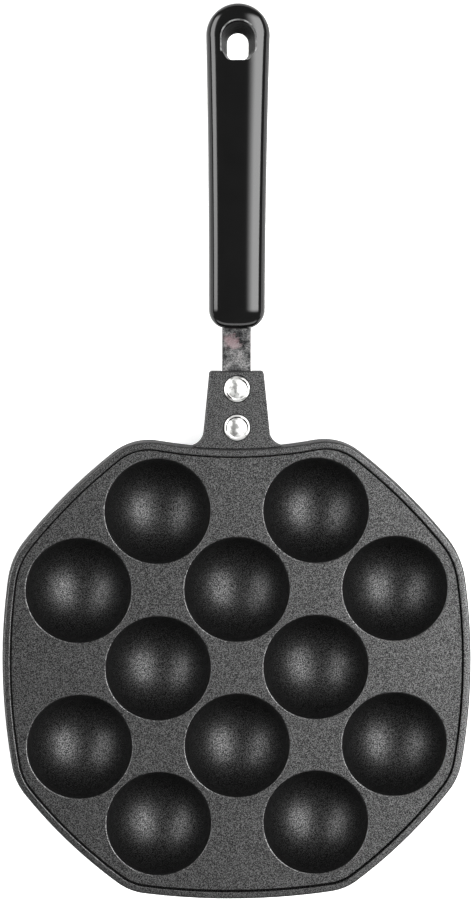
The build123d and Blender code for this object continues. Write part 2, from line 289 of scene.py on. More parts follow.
def into_frame(piece, place, sharp=32):
    """Moves the finished shape into the frame, and shades its rounds smooth and its flats flat. Edges
    with a sharper angle than this, in degrees, stay sharp."""
    piece.data.transform(place)
    piece.data.shade_smooth()
    piece.data.set_sharp_from_angle(angle=radians(sharp))
    even = piece.modifiers.new("even", "WEIGHTED_NORMAL")
    even.keep_sharp = True
    even.weight = 100
    baked(piece)


def against_wall(radius, z):
    """How far out a round of this radius is centred, so that it touches the drafted outer wall."""
    lean = radians(SKIRT_DRAFT)
    return (sin(lean) * (RIM_TOP - z) - radius) / cos(lean)


# The coats, in the order that the casting gets them
FLATS, CUPS, OUTSIDE, PAINTED_SHADE = range(4)

# Section of the plate's edge, as (distance out past the rim's outline, height), from the underside
# out round the skirt's foot and over the rim, down to the groove along the deck
foot_z = SKIRT_FOOT + SKIRT_FOOT_ROUND
edge_z = RIM_TOP - RIM_EDGE_DROP - RIM_EDGE_ROUND
under_centre = (-RIM_WIDE - DECK_UNDER_ROUND, DECK_UNDER - DECK_UNDER_ROUND)
section = arc(under_centre, DECK_UNDER_ROUND, 90, 0, 5)
section += arc((-RIM_WIDE + SKIRT_FOOT_ROUND, foot_z), SKIRT_FOOT_ROUND, 180, 270, 5)
foot_centre = (against_wall(SKIRT_FOOT_ROUND, foot_z), foot_z)
section += arc(foot_centre, SKIRT_FOOT_ROUND, -90, SKIRT_DRAFT, 5)
edge_centre = (against_wall(RIM_EDGE_ROUND, edge_z), edge_z)
section += arc(edge_centre, RIM_EDGE_ROUND, SKIRT_DRAFT, 90 - RIM_FALL, 6)
outside_end = len(section) - 3
inner_centre = (-RIM_WIDE + RIM_INNER_ROUND, RIM_TOP - RIM_INNER_ROUND)
section += arc(inner_centre, RIM_INNER_ROUND, 90 - RIM_FALL, 172, 6)
groove_start = len(section)
section += arc(GROOVE_CENTRE, GROOVE_RADIUS, 0, -170, 8)
groove_end = len(section) - 1

outline = plate_outline()
casting = lofted("pan_casting", [at(drawn_in(outline, -out), z) for out, z in section])
# Faces of the skirt and underside get the outside coat, and the groove's faces get the painted shade coat
for i, face in enumerate(casting.data.polygons):
    ring = i // len(outline)
    if ring < outside_end:
        face.material_index = OUTSIDE
    elif groove_start <= ring < groove_end:
        face.material_index = PAINTED_SHADE
underside = casting.data.polygons[-2]
underside.material_index = OUTSIDE

# The tab: its wall leans out downwards like the skirt, and its root follows the plate's hollow side
flare = (TAB_ROOT_HALF - TAB_END_HALF) / (TAB_END - PLATE_FRONT)
root_y = PLATE_FRONT + 0.55
root_half = TAB_END_HALF + flare * (TAB_END - root_y)
tab_outline = rounded(
    [
        (TAB_END_HALF, TAB_END, TAB_CORNER),
        (-TAB_END_HALF, TAB_END, TAB_CORNER),
        (-root_half, root_y, TAB_FILLET),
        (-root_half - TAB_WING, root_y + 1.1, 0),
        (-root_half - TAB_WING, root_y - 0.8, 0),
        (0, PLATE_FRONT - 1.35, 0),
        (root_half + TAB_WING, root_y - 0.8, 0),
        (root_half + TAB_WING, root_y + 1.1, 0),
        (root_half, root_y, TAB_FILLET),
    ]
)
tab_section = [(0, TAB_FOOT), (TAB_LEAN / 2, TAB_FOOT + 2)]
for p in arc((0, 0), TAB_TOP_ROUND, 3, 90, 5):
    tab_section.append((TAB_LEAN + TAB_TOP_ROUND - p.x, TAB_TOP - TAB_TOP_ROUND + p.y))
tab = lofted("tab", [at(drawn_in(tab_outline, inset), z) for inset, z in tab_section])
for face in tab.data.polygons:
    face.material_index = FLATS if face.normal.z > 0.8 else OUTSIDE
merge(casting, tab, "UNION")

# A fine seam between the tab's top and the rim's wall, in the painted shade coat
seam_head = TAB_TOP + 0.5
seam_rings = []
for here, inner, outer in zip(outline, drawn_in(outline, -SEAM_START), drawn_in(outline, -SEAM_END)):
    if here.y > 0 and abs(here.x) < root_half + 4:
        seam_rings.append(at([inner], SEAM_FOOT) + at([inner, outer], seam_head) + at([outer], SEAM_FOOT))
merge(casting, lofted("seam", seam_rings), "DIFFERENCE", PAINTED_SHADE)

# The cups: bumps below, joined in two sets that don't overlap in themselves, then the hollows
ball = (CUP_RADIUS**2 + CUP_DEPTH**2) / (2 * CUP_DEPTH)
ball_z = ball - CUP_DEPTH
skin = ball + CUP_WALL
bump_foot_z = BUMP_FOOT + BUMP_FOOT_ROUND
bump_foot_radius = sqrt((skin - BUMP_FOOT_ROUND) ** 2 - (ball_z - bump_foot_z) ** 2)
touch = -90 + degrees(asin(bump_foot_radius / (skin - BUMP_FOOT_ROUND)))
bump_top = -90 + degrees(acos((ball_z - DECK_UNDER / 2) / skin))
bump = [Vector((0, BUMP_FOOT))]
bump += arc((bump_foot_radius, bump_foot_z), BUMP_FOOT_ROUND, -90, touch, 5)
bump += arc((0, ball_z), skin, touch, bump_top, 20)[1:] + [Vector((0, DECK_UNDER / 2))]
for odd in (0, 1):
    columns = [round((p.x - cup_places[0].x) / CUP_COLUMN_PITCH) for p in cup_places]
    places = [p for p, column in zip(cup_places, columns) if column % 2 == odd]
    merge(casting, turned("bumps", bump, places), "UNION", OUTSIDE)

lip_radius = sqrt((ball + LIP_ROUND) ** 2 - (ball_z + LIP_ROUND) ** 2)
lip_turn = 180 - degrees(asin((ball_z + LIP_ROUND) / (ball + LIP_ROUND)))
hollow = [Vector((0, ball_z - ball))] + arc((0, ball_z), ball, -90, lip_turn - 180, 34)[1:]
lip = arc((lip_radius, LIP_LIFT - LIP_ROUND), LIP_ROUND, lip_turn, 90, 7)[1:]
hollow_top = RIM_TOP + 3
hollow += lip + [Vector((lip_radius, hollow_top)), Vector((0, hollow_top))]
hollows = turned("hollows", hollow, cup_places, 128)
for face in hollows.data.polygons:
    face.material_index = CUPS if face.center.z < lip[0].y else FLATS
merge(casting, hollows, "DIFFERENCE")

# The strap's channel under the tab, and the rivets' holes through it
channel_half = STRAP_WIDE / 2 + STRAP_CLEAR
channel_tail = STRAP_TAIL - STRAP_CLEAR
channel_mouth = TAB_END + 5
channel = rounded(
    [
        (channel_half, channel_mouth, 0),
        (-channel_half, channel_mouth, 0),
        (-channel_half, channel_tail, STRAP_TAIL_ROUND),
        (channel_half, channel_tail, STRAP_TAIL_ROUND),
    ]
)
merge(casting, lofted("channel", [at(channel, TAB_FOOT - 5), at(channel, STRAP_TOP)]), "DIFFERENCE")
hole_radius = RIVET_SHANK + RIVET_CLEAR
drill = [Vector(p) for p in ((0, -9), (hole_radius, -9), (hole_radius, 3), (0, 3))]
merge(casting, turned("drill", drill, RIVET_PLACES.values(), 32), "DIFFERENCE")

# A fine ring is cut into the coat round each flange, in the painted shade coat: a painted contact shadow
bite_foot = TAB_TOP - BITE_DEEP
bite_end = FLANGE_RADIUS + BITE_WIDE
bite = [(0, TAB_TOP + FLANGE_LIFT), (FLANGE_RADIUS - 0.05, TAB_TOP + FLANGE_LIFT)]
bite += [(FLANGE_RADIUS, bite_foot), (bite_end, bite_foot)]
bite += [(bite_end + 0.05, TAB_TOP + 0.4), (0, TAB_TOP + 0.4)]
merge(casting, turned("bite", [Vector(p) for p in bite], RIVET_PLACES.values(), 64), "DIFFERENCE", PAINTED_SHADE)
into_frame(casting, TO_FRAME)


def linear(code):
    """An sRGB hex colour as the shaders take it."""
    parts = [int(code[i : i + 2], 16) / 255 for i in (1, 3, 5)]
    return [c / 12.92 if c <= 0.04045 else ((c + 0.055) / 1.055) ** 2.4 for c in parts] + [1.0]


def add_node(owner, kind, links=(), stops=(), **settings):
    """A node with its settings, the colour stops of a ramp, and its inputs linked to outputs."""
    node = owner.node_tree.nodes.new("ShaderNode" + kind)
    for key, value in settings.items():
        if key in node.inputs:
            node.inputs[key].default_value = value
        elif hasattr(node, key):
            setattr(node, key, value)
        else:
            node.inputs[key.replace("_", " ")].default_value = value
    for _ in stops[2:]:
        node.color_ramp.elements.new(0.5)
    for i, (place, colour) in enumerate(stops):
        element = node.color_ramp.elements[i]
        element.position, element.color = place, linear(colour)
    for key, output in dict(links).items():
        owner.node_tree.links.new(node.inputs[key], output)
    return node


def new_material(name):
    """A material without nodes."""
    material = bpy.data.materials.new(name)
    material.use_nodes = True
    material.node_tree.nodes.clear()
    return material


def dress(piece, *materials):
    """Gives the piece its materials, in the places that its faces ask for."""
    for i, material in enumerate(materials):
        if i < len(piece.data.materials):
            piece.data.materials[i] = material
        else:
            piece.data.materials.append(material)


def coat(name, dark, light, roughness, metal, gloss=0.5, sheen="#ffffff"):
    """Sprayed non-stick coat: metal flakes in a dark binder, which give it a fine grain. Real flakes
    are under 0.1 mm and too fine to show, so they are drawn as coarse as the grain looks."""
    flake_size, flake_height = 0.32 * MM, 0.04 * MM
    material = new_material(name)
    spot = add_node(material, "TexCoord").outputs["Object"]
    flakes = add_node(material, "TexNoise", {"Vector": spot}, Scale=1 / flake_size, Detail=1.0)
    height = {"Height": flakes.outputs["Fac"]}
    grain = add_node(material, "Bump", height, Strength=1.0, Distance=flake_height)
    tone = add_node(material, "ValToRGB", {"Fac": flakes.outputs["Fac"]}, [(0.42, dark), (0.66, light)])
    shader = add_node(
        material,
        "BsdfPrincipled",
        {"Base Color": tone.outputs["Color"], "Normal": grain.outputs["Normal"]},
        Metallic=metal,
        Roughness=roughness,
        Specular_IOR_Level=gloss,
        Specular_Tint=linear(sheen),
    )
    add_node(material, "OutputMaterial", {"Surface": shader.outputs["BSDF"]})
    return material


# On the flats the flakes lie level: a grainy mid grey with a soft shine, which low light doesn't turn
# white. The tint takes that light off, because a binder covers the flakes.
flats_coat = coat("speckled_coat", "#272727", "#717171", 0.36, 1.0, sheen="#303030")
# In the cups the coat pools over the flakes: darker, with broad soft highlights
cups_coat = coat("cup_coat", "#101010", "#555555", 0.44, 0.92)
# Outside it is one thin dusted layer: matt charcoal that shows hardly any light
outside_coat = coat("matt_coat", "#111111", "#383838", 0.7, 0.0, gloss=0.2)
# Painted shade: a nearly black coat for the groove along the deck, the seam at the tab and the rings
# round the flanges
shade_line_coat = coat("groove_painted_shade", "#030303", "#070707", 0.8, 0.0, gloss=0.1)
dress(casting, flats_coat, cups_coat, outside_coat, shade_line_coat)
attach(casting, "root")
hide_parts("pan_body")

# ---- Rivets ------------------------------------------------------------------------------------
# Two bright aluminium rivets through tab and strap: a round flange with a raised button above, and a
# tail that was pressed flat below. Handling has left grey smudges on them.

FLANGE_THICK = 0.8
FLANGE_ROUND = 0.4
BUTTON_RADIUS = 3.8
BUTTON_RISE = 0.5
CROWN_RADIUS = 10.0
CREASE_WIDE = 0.45
CREASE_DEEP = 0.15
CREASE_SHADE_RADIUS = BUTTON_RADIUS + 0.2
CREASE_SHADE_HALF = 0.25
TAIL_RADIUS = 4.0
TAIL_THICK = 1.6
TAIL_ROUND = 0.9
STRAP_THICK = 2.5

flange_top = TAB_TOP + FLANGE_THICK
button_top = flange_top + BUTTON_RISE
strap_under = STRAP_TOP - STRAP_THICK
tail_foot = strap_under - TAIL_THICK
crown_half = degrees(asin(BUTTON_RADIUS / CROWN_RADIUS))
rivet_profile = [Vector((0, tail_foot))]
rivet_profile += arc((TAIL_RADIUS - TAIL_ROUND, tail_foot + TAIL_ROUND), TAIL_ROUND, -90, 0, 6)
rivet_profile += [Vector((TAIL_RADIUS, strap_under)), Vector((RIVET_SHANK, strap_under))]
rivet_profile += [Vector((RIVET_SHANK, TAB_TOP)), Vector((FLANGE_RADIUS - 0.05, TAB_TOP))]
rivet_profile += arc((FLANGE_RADIUS - FLANGE_ROUND, TAB_TOP + FLANGE_LIFT), FLANGE_ROUND, 0, 75, 5)
rivet_profile += [
    Vector((BUTTON_RADIUS + CREASE_WIDE, flange_top)),
    Vector((BUTTON_RADIUS, flange_top - CREASE_DEEP)),
]
rivet_profile += arc((0, button_top - CROWN_RADIUS), CROWN_RADIUS, 91 - crown_half, 90, 9)

# Pressed aluminium, tumbled smooth: nearly white, with soft grey smudges from fingers
rivet_metal = new_material("rivet_aluminium")
spot = add_node(rivet_metal, "TexCoord").outputs["Object"]
smudge = add_node(rivet_metal, "TexNoise", {"Vector": spot}, Scale=1 / (2.2 * MM), Detail=4.0)
smudge_stops = [(0.40, "#949492"), (0.54, "#e2e2e0")]
smudged = add_node(rivet_metal, "ValToRGB", {"Fac": smudge.outputs["Fac"]}, smudge_stops)
links = {"Base Color": smudged.outputs["Color"]}
shader = add_node(rivet_metal, "BsdfPrincipled", links, Metallic=1.0, Roughness=0.42)
add_node(rivet_metal, "OutputMaterial", {"Surface": shader.outputs["BSDF"]})

# Painted shade in the crease round the button: a broken dark ring, with bare metal between
crease_shade = new_material("rivet_crease_shade")
spot = add_node(crease_shade, "TexCoord").outputs["Object"]
patchy = add_node(crease_shade, "TexNoise", {"Vector": spot}, Scale=1 / (5 * MM), Detail=2.0)
crease_shade_stops = [(0.47, "#101010"), (0.55, "#c8c8c6")]
broken = add_node(crease_shade, "ValToRGB", {"Fac": patchy.outputs["Fac"]}, crease_shade_stops)
links = {"Base Color": broken.outputs["Color"]}
shader = add_node(crease_shade, "BsdfPrincipled", links, Metallic=1.0, Roughness=0.5)
add_node(crease_shade, "OutputMaterial", {"Surface": shader.outputs["BSDF"]})

for name, place in RIVET_PLACES.items():
    rivet = turned(name + "_bright", rivet_profile, [place], 64)
    for face in rivet.data.polygons:
        reach = (face.center.xy - Vector(place)).length
        # faces in a ring over the crease get the painted shade
        face.material_index = face.center.z > TAB_TOP and abs(reach - CREASE_SHADE_RADIUS) < CREASE_SHADE_HALF
    into_frame(rivet, TO_FRAME)
    dress(rivet, rivet_metal, crease_shade)
    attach(rivet, "root")
    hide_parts(name)

# ---- Handle strap ------------------------------------------------------------------------------
# Steel strip with dull nickel plating, cut to length with a rounded tail. It lies in the channel
# under the tab, bends up once just outside it and runs straight on into the grip.

STRAP_EDGE = 0.4
STRAP_IN_GRIP = 58.0
BEND_START = TAB_END + 2.5
BEND_RADIUS = 16.0
BEND_STEPS = 8
HANDLE_RISE = 8.0
GRIP_GAP = 16.7

rise = radians(HANDLE_RISE)
strap_mid = STRAP_TOP - STRAP_THICK / 2
bend_run = BEND_RADIUS * sin(rise)
bend_lift = BEND_RADIUS * (1 - cos(rise))
grip_y = TAB_END + GRIP_GAP
grip_z = strap_mid + bend_lift + (grip_y - BEND_START - bend_run) * tan(rise)
along_grip = Vector((0, cos(rise), sin(rise)))
strap_section = rounded_box(STRAP_WIDE, STRAP_THICK, STRAP_EDGE, 4)


def strap_ring(y, z, turn=0.0, narrow=0.0):
    """The strap's section across its line at a place, turned up by an angle in degrees."""
    up = Vector((0, -sin(radians(turn)), cos(radians(turn))))
    scale = 1 - narrow / (STRAP_WIDE / 2)
    return [Vector((p.x * scale, y, z)) + up * p.y for p in strap_section]


strap_rings = []
tail_centre = STRAP_TAIL + STRAP_TAIL_ROUND
for p in arc((0, 0), STRAP_TAIL_ROUND, 180, 100, 8):
    strap_rings.append(strap_ring(tail_centre + p.x, strap_mid, 0, STRAP_TAIL_ROUND - p.y))
strap_rings.append(strap_ring(tail_centre, strap_mid))
strap_rings.append(strap_ring(BEND_START, strap_mid))
for i in range(1, BEND_STEPS + 1):
    turn = HANDLE_RISE * i / BEND_STEPS
    run = BEND_RADIUS * sin(radians(turn))
    lift = BEND_RADIUS * (1 - cos(radians(turn)))
    strap_rings.append(strap_ring(BEND_START + run, strap_mid + lift, turn))
strap_end = Vector((0, grip_y, grip_z)) + along_grip * STRAP_IN_GRIP
strap_rings.append(strap_ring(strap_end.y, strap_end.z, HANDLE_RISE))
strap = lofted("strap_plated", strap_rings)
merge(strap, turned("drill", drill, RIVET_PLACES.values(), 32), "DIFFERENCE")
into_frame(strap, TO_FRAME)
for face in strap.data.polygons:
    face.material_index = abs(face.normal.x) > 0.5

# Dull barrel nickel: a mid grey metal, clouded in patches of about 6 mm and speckled all over
plating = new_material("strap_plating")
spot = add_node(plating, "TexCoord").outputs["Object"]
patches = add_node(plating, "TexNoise", {"Vector": spot}, Scale=1 / (6 * MM), Detail=5.0, Roughness=0.7)
patch_stops = [(0.38, "#3c3c3d"), (0.5, "#7c7c7c"), (0.62, "#a4a2a2")]
clouded = add_node(plating, "ValToRGB", {"Fac": patches.outputs["Fac"]}, patch_stops)
specks = add_node(plating, "TexNoise", {"Vector": spot}, Scale=1 / (0.45 * MM), Detail=2.0)
speck_stops = [(0.36, "#8c8c8c"), (0.62, "#ffffff")]
speckled = add_node(plating, "ValToRGB", {"Fac": specks.outputs["Fac"]}, speck_stops)
mottled = add_node(
    plating,
    "Mix",
    {6: clouded.outputs["Color"], 7: speckled.outputs["Color"]},
    data_type="RGBA",
    blend_type="MULTIPLY",
    Factor=1.0,
)
# A pink stain with a ragged edge, where the nickel is thin over its copper strike
stain_radius = 4.2 * MM
ragged_depth = 6 * MM
stain_centre = TO_FRAME @ Vector((-2.0, 125.5, -3.0)) + Vector((ragged_depth / 2, ragged_depth / 2, 0))
ragged = add_node(plating, "TexNoise", {"Vector": spot}, Scale=1 / (2 * MM), Detail=4.0)
pushed = add_node(plating, "VectorMath", {0: ragged.outputs["Color"], 2: spot}, operation="MULTIPLY_ADD")
pushed.inputs[1].default_value = (ragged_depth, ragged_depth, 0)
offset = add_node(plating, "VectorMath", {0: pushed.outputs["Vector"]}, operation="SUBTRACT")
offset.inputs[1].default_value = stain_centre
sized = {0: offset.outputs["Vector"]}
grown = add_node(plating, "VectorMath", sized, operation="SCALE", Scale=1 / stain_radius)
spread = add_node(plating, "TexGradient", {"Vector": grown.outputs["Vector"]}, gradient_type="SPHERICAL")
spread_stops = [(0.1, "#000000"), (0.6, "#b4b4b4")]
strength = add_node(plating, "ValToRGB", {"Fac": spread.outputs["Fac"]}, spread_stops)
blend = {0: strength.outputs["Color"], 6: mottled.outputs[2]}
stained = add_node(plating, "Mix", blend, data_type="RGBA")
stained.inputs[7].default_value = linear("#b09498")
links = {"Base Color": stained.outputs[2]}
shader = add_node(plating, "BsdfPrincipled", links, Metallic=1.0, Roughness=0.42)
add_node(plating, "OutputMaterial", {"Surface": shader.outputs["BSDF"]})

# Sheared steel edge, thinly plated: darker than the faces and streaky, so it outlines them
sheared = new_material("strap_sheared_edge")
spot = add_node(sheared, "TexCoord").outputs["Object"]
streaks = add_node(sheared, "TexNoise", {"Vector": spot}, Scale=1 / (1.5 * MM), Detail=3.0)
streak_stops = [(0.4, "#232323"), (0.6, "#444444")]
streaky = add_node(sheared, "ValToRGB", {"Fac": streaks.outputs["Fac"]}, streak_stops)
links = {"Base Color": streaky.outputs["Color"]}
shader = add_node(sheared, "BsdfPrincipled", links, Metallic=1.0, Roughness=0.5)
add_node(sheared, "OutputMaterial", {"Surface": shader.outputs["BSDF"]})
dress(strap, plating, sheared)
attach(strap, "root")
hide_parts("handle_strap")

# ---- Grip --------------------------------------------------------------------------------------
# Black phenolic moulding, polished, oval in section and slightly wider towards its round tip. An
# arched mouth on each face narrows to the hang hole, and a small collar takes the strap at the pan
# end, over a deep slot for it.

GRIP_LENGTH = 123.15
GRIP_HALF = 10.675
GRIP_PARALLEL = 8.5
GRIP_SWEEP = 4150.0  # radius of the long hollow sides
GRIP_END_ROUND = 7.4
GRIP_FLANK = 2.7
GRIP_CROWN = 4.8
GRIP_SQUARING = 0.83
CROWN_POWER = 2.4  # the squared-up oval's own power, which gives its height at a place across
END_DROP = 9.0
TIP_DROP = 17.0

# The hang hole's mouth and its narrow window: width, length, width of the flat foot, and slant
MOUTH = (12.7, 14.6, 8.2, 3.6)
WINDOW = (7.9, 9.9, 5.4, 1.6)
MOUTH_FOOT = GRIP_LENGTH - 20.4
WINDOW_LEDGE = 0.3
FOOT_LEAN = HANDLE_RISE + 2  # degrees from square to the grip, which is a little past plumb
ARCH_STEPS = 12
BEAD_RADIUS = 0.3

COLLAR_WIDE = 15.0
COLLAR_HIGH = 8.4
COLLAR_CORNER = 2.4
COLLAR_EDGE = 0.4
COLLAR_SETBACK = 0.9
COLLAR_LONG = 14.0
SLOT_CLEAR = 0.15
SCREW_AT = 26.0
SCREW_SEAT = -STRAP_THICK / 2 - SLOT_CLEAR - 2.4
SCREW_BORE = 2.4
BORE_TOP = 3.15
WELL_RADIUS = 3.9

# The grip is drawn along +X from its pan end, with +Z up and the strap's middle at 0
GRIP_FRAME = TO_FRAME @ Matrix(
    (
        (0, -1, 0, 0),
        (along_grip.y, 0, -along_grip.z, grip_y),
        (along_grip.z, 0, along_grip.y, grip_z),
        (0, 0, 0, 1),
    )
)

# Half of the outline from above: a rounded end, a long hollow side, and a tip that is a half circle
swept = GRIP_LENGTH - GRIP_PARALLEL
tip_radius = (swept**2 + GRIP_HALF**2 + 2 * GRIP_HALF * GRIP_SWEEP) / (2 * (GRIP_SWEEP + swept))
tip_x = GRIP_LENGTH - tip_radius
sweep_turn = degrees(asin((tip_x - GRIP_PARALLEL) / (GRIP_SWEEP + tip_radius)))
grip_side = arc((GRIP_END_ROUND, GRIP_HALF - GRIP_END_ROUND), GRIP_END_ROUND, 180, 90, 14)
grip_side += arc((GRIP_PARALLEL, GRIP_HALF + GRIP_SWEEP), GRIP_SWEEP, -90, -90 + sweep_turn, 30)[:-1]
grip_side += arc((tip_x, 0), tip_radius, 90 + sweep_turn, 2, 28)


def oval(share):
    """Squares up an oval a little, from its cosine or sine."""
    return copysign(abs(share) ** GRIP_SQUARING, share)


def crown_lift(x):
    """The crown's height over the flank, which comes down in an oval at both ends."""
    share = 1 - min(x / END_DROP, (GRIP_LENGTH - x) / TIP_DROP, 1)
    return GRIP_CROWN * sqrt(1 - share**2)


grip_rings = []
half_turn = [pi * i / 48 for i in range(49)]
for p in grip_side:
    high = crown_lift(p.x)
    upper = [(p.y * oval(cos(a)), GRIP_FLANK + high * oval(sin(a))) for a in half_turn]
    lower = [(y, -z) for y, z in reversed(upper)]
    grip_rings.append([(p.x, y, z) for y, z in upper + lower])
grip = lofted("grip_moulding", grip_rings)

# The finishes after the polished one, in the order that the grip gets them
RECESS, PAINTED_HIGHLIGHT = 1, 2


def arch(width, length, foot, slant):
    """Round towards the tip, with a flat foot and slanted corners towards the pan."""
    half = width / 2
    right = [(0, -foot / 2, 2.0), (slant, -half, 1.5), (length, -half, half * 0.98)]
    return rounded(right + [(x, -y, radius) for x, y, radius in reversed(right)], ARCH_STEPS)


# The mouth narrows to the window with sides that are slightly hollow, from the crown to half-way. Its
# foot isn't cut square to the grip, and leaves a narrow ledge at the window.
crown = GRIP_FLANK + GRIP_CROWN
narrowing = [(1.0, crown + 4), (1.0, crown), (0.62, crown * 0.62), (0.26, crown * 0.3), (0.0, 0.8)]
narrowing += [(share, -z) for share, z in reversed(narrowing)]
hole_rings = []
for share, z in narrowing:
    sizes = [window + (mouth - window) * share for window, mouth in zip(WINDOW, MOUTH)]
    foot = MOUTH_FOOT + (1 - share) * WINDOW_LEDGE - (crown - z) * tan(radians(FOOT_LEAN))
    hole_rings.append([(foot + p.x, p.y, z) for p in arch(*sizes)])
merge(grip, lofted("hang_hole", hole_rings), "DIFFERENCE", RECESS)

# A thin bead stands up round the mouth on the upper face, but not at its foot
bead_line = arch(MOUTH[0] + BEAD_RADIUS, MOUTH[1] + BEAD_RADIUS / 2, MOUTH[2], MOUTH[3])
bead_line = bead_line[ARCH_STEPS + 1 : -ARCH_STEPS - 1]
circle = [(cos(2 * pi * i / 10) * BEAD_RADIUS, sin(2 * pi * i / 10) * BEAD_RADIUS) for i in range(10)]
bead_rings = []
for i, p in enumerate(bead_line):
    x = MOUTH_FOOT + p.x
    before, after = next((a, b) for a, b in zip(grip_side, grip_side[1:]) if a.x <= x <= b.x)
    wide = before.y + (after.y - before.y) * (x - before.x) / (after.x - before.x)
    top = GRIP_FLANK + crown_lift(x) * (1 - abs(p.y / wide) ** CROWN_POWER) ** (1 / CROWN_POWER)
    along = (bead_line[min(i + 1, len(bead_line) - 1)] - bead_line[max(i - 1, 0)]).normalized()
    bead_rings.append([(x + along.y * out, p.y - along.x * out, top + up) for out, up in circle])
# The bead's faces get the grey painted highlight
merge(grip, lofted("bead", bead_rings), "UNION", PAINTED_HIGHLIGHT)

# The collar, the slot for the strap, and the screw's bore with a well for its head
collar_outline = rounded_box(COLLAR_WIDE, COLLAR_HIGH, COLLAR_CORNER)
collar_rings = []
for p in arc((COLLAR_EDGE, 0), COLLAR_EDGE, 180, 90, 4):
    ring = drawn_in(collar_outline, COLLAR_EDGE - p.y)
    collar_rings.append([(COLLAR_SETBACK + p.x, q.x, q.y) for q in ring])
collar_rings.append([(COLLAR_SETBACK + COLLAR_LONG, q.x, q.y) for q in collar_outline])
merge(grip, lofted("collar", collar_rings), "UNION")
slot_outline = rounded_box(STRAP_WIDE + 2 * SLOT_CLEAR, STRAP_THICK + 2 * SLOT_CLEAR, 0)
slot_rings = [[(x, q.x, q.y) for q in slot_outline] for x in (-5, STRAP_IN_GRIP + SLOT_CLEAR)]
merge(grip, lofted("slot", slot_rings), "DIFFERENCE")
well = [(0, -12), (WELL_RADIUS, -12), (WELL_RADIUS, SCREW_SEAT)]
well += [(SCREW_BORE, SCREW_SEAT), (SCREW_BORE, BORE_TOP), (0, BORE_TOP)]
merge(grip, turned("well", [Vector(p) for p in well], [(SCREW_AT, 0)], 48), "DIFFERENCE")
into_frame(grip, GRIP_FRAME)

# Moulded phenolic, polished: deep black with sharp reflections that waver a little over the length
phenolic = new_material("grip_phenolic")
spot = add_node(phenolic, "TexCoord").outputs["Object"]
flow = add_node(phenolic, "TexNoise", {"Vector": spot}, Scale=1 / (12 * MM), Detail=3.0)
waver = add_node(phenolic, "Bump", {"Height": flow.outputs["Fac"]}, Strength=0.3, Distance=0.05 * MM)
black = add_node(phenolic, "ValToRGB", {"Fac": flow.outputs["Fac"]}, [(0.3, "#030303"), (0.7, "#060606")])
links = {"Base Color": black.outputs["Color"], "Normal": waver.outputs["Normal"]}
shader = add_node(phenolic, "BsdfPrincipled", links, Roughness=0.1, IOR=1.44)
add_node(phenolic, "OutputMaterial", {"Surface": shader.outputs["BSDF"]})

# Unpolished phenolic on the walls of the hang hole, pitted by the mould: soft dark grey, no shine
recess = new_material("grip_recess")
spot = add_node(recess, "TexCoord").outputs["Object"]
pits = add_node(recess, "TexNoise", {"Vector": spot}, Scale=1 / (0.7 * MM), Detail=3.0)
rough = add_node(recess, "Bump", {"Height": pits.outputs["Fac"]}, Strength=1.0, Distance=0.15 * MM)
pit_stops = [(0.35, "#020202"), (0.65, "#101010")]
pitted = add_node(recess, "ValToRGB", {"Fac": pits.outputs["Fac"]}, pit_stops)
links = {"Base Color": pitted.outputs["Color"], "Normal": rough.outputs["Normal"]}
shader = add_node(recess, "BsdfPrincipled", links, Roughness=0.5, Specular_IOR_Level=0.18)
add_node(recess, "OutputMaterial", {"Surface": shader.outputs["BSDF"]})

# Painted highlight on the bead: a thin dull grey line, lighter in patches
bead_highlight_paint = new_material("grip_bead_painted_highlight")
spot = add_node(bead_highlight_paint, "TexCoord").outputs["Object"]
highlight_noise = add_node(bead_highlight_paint, "TexNoise", {"Vector": spot}, Scale=1 / (1.5 * MM), Detail=3.0)
highlight_tone = add_node(bead_highlight_paint, "ValToRGB", {"Fac": highlight_noise.outputs["Fac"]}, [(0.4, "#3c3c3c"), (0.6, "#7a7a7a")])
links = {"Base Color": highlight_tone.outputs["Color"]}
shader = add_node(bead_highlight_paint, "BsdfPrincipled", links, Roughness=0.35)
add_node(bead_highlight_paint, "OutputMaterial", {"Surface": shader.outputs["BSDF"]})
dress(grip, phenolic, recess, bead_highlight_paint)
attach(grip, "root")
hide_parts("handle_grip")

# ---- Grip screw --------------------------------------------------------------------------------
# Zinc-plated steel pan-head screw with a cross recess. It goes up from below through the grip into
# the strap, and its head sits in a well.

HEAD_RADIUS = 3.5
HEAD_THICK = 2.2
HEAD_ROUND = 1.0
SCREW_SHANK = 2.0
SCREW_TOP = 2.75
CROSS_LONG = 3.8
CROSS_WIDE = 0.9
CROSS_DEEP = 1.2
CROSS_TAPER = 0.6

head_foot = SCREW_SEAT - HEAD_THICK
screw_profile = [Vector((0, head_foot))]
screw_profile += arc((HEAD_RADIUS - HEAD_ROUND, head_foot + HEAD_ROUND), HEAD_ROUND, -90, 0, 6)
screw_profile += [Vector((HEAD_RADIUS, SCREW_SEAT)), Vector((SCREW_SHANK, SCREW_SEAT))]
screw_profile += [Vector((SCREW_SHANK, SCREW_TOP)), Vector((0, SCREW_TOP))]
screw = turned("screw_zinc", screw_profile, [(SCREW_AT, 0)], 48)
arm_along = rounded_box(CROSS_LONG, CROSS_WIDE, 0.2, 3)
arm_across = [Vector((-p.y, p.x)) for p in arm_along]
for arm in (arm_along, arm_across):
    arm_rings = []
    for scale, z in ((1, head_foot - 0.5), (1, head_foot), (CROSS_TAPER, head_foot + CROSS_DEEP)):
        arm_rings.append([(SCREW_AT + p.x * scale, p.y * scale, z) for p in arm])
    merge(screw, lofted("cross", arm_rings), "DIFFERENCE")
into_frame(screw, GRIP_FRAME)

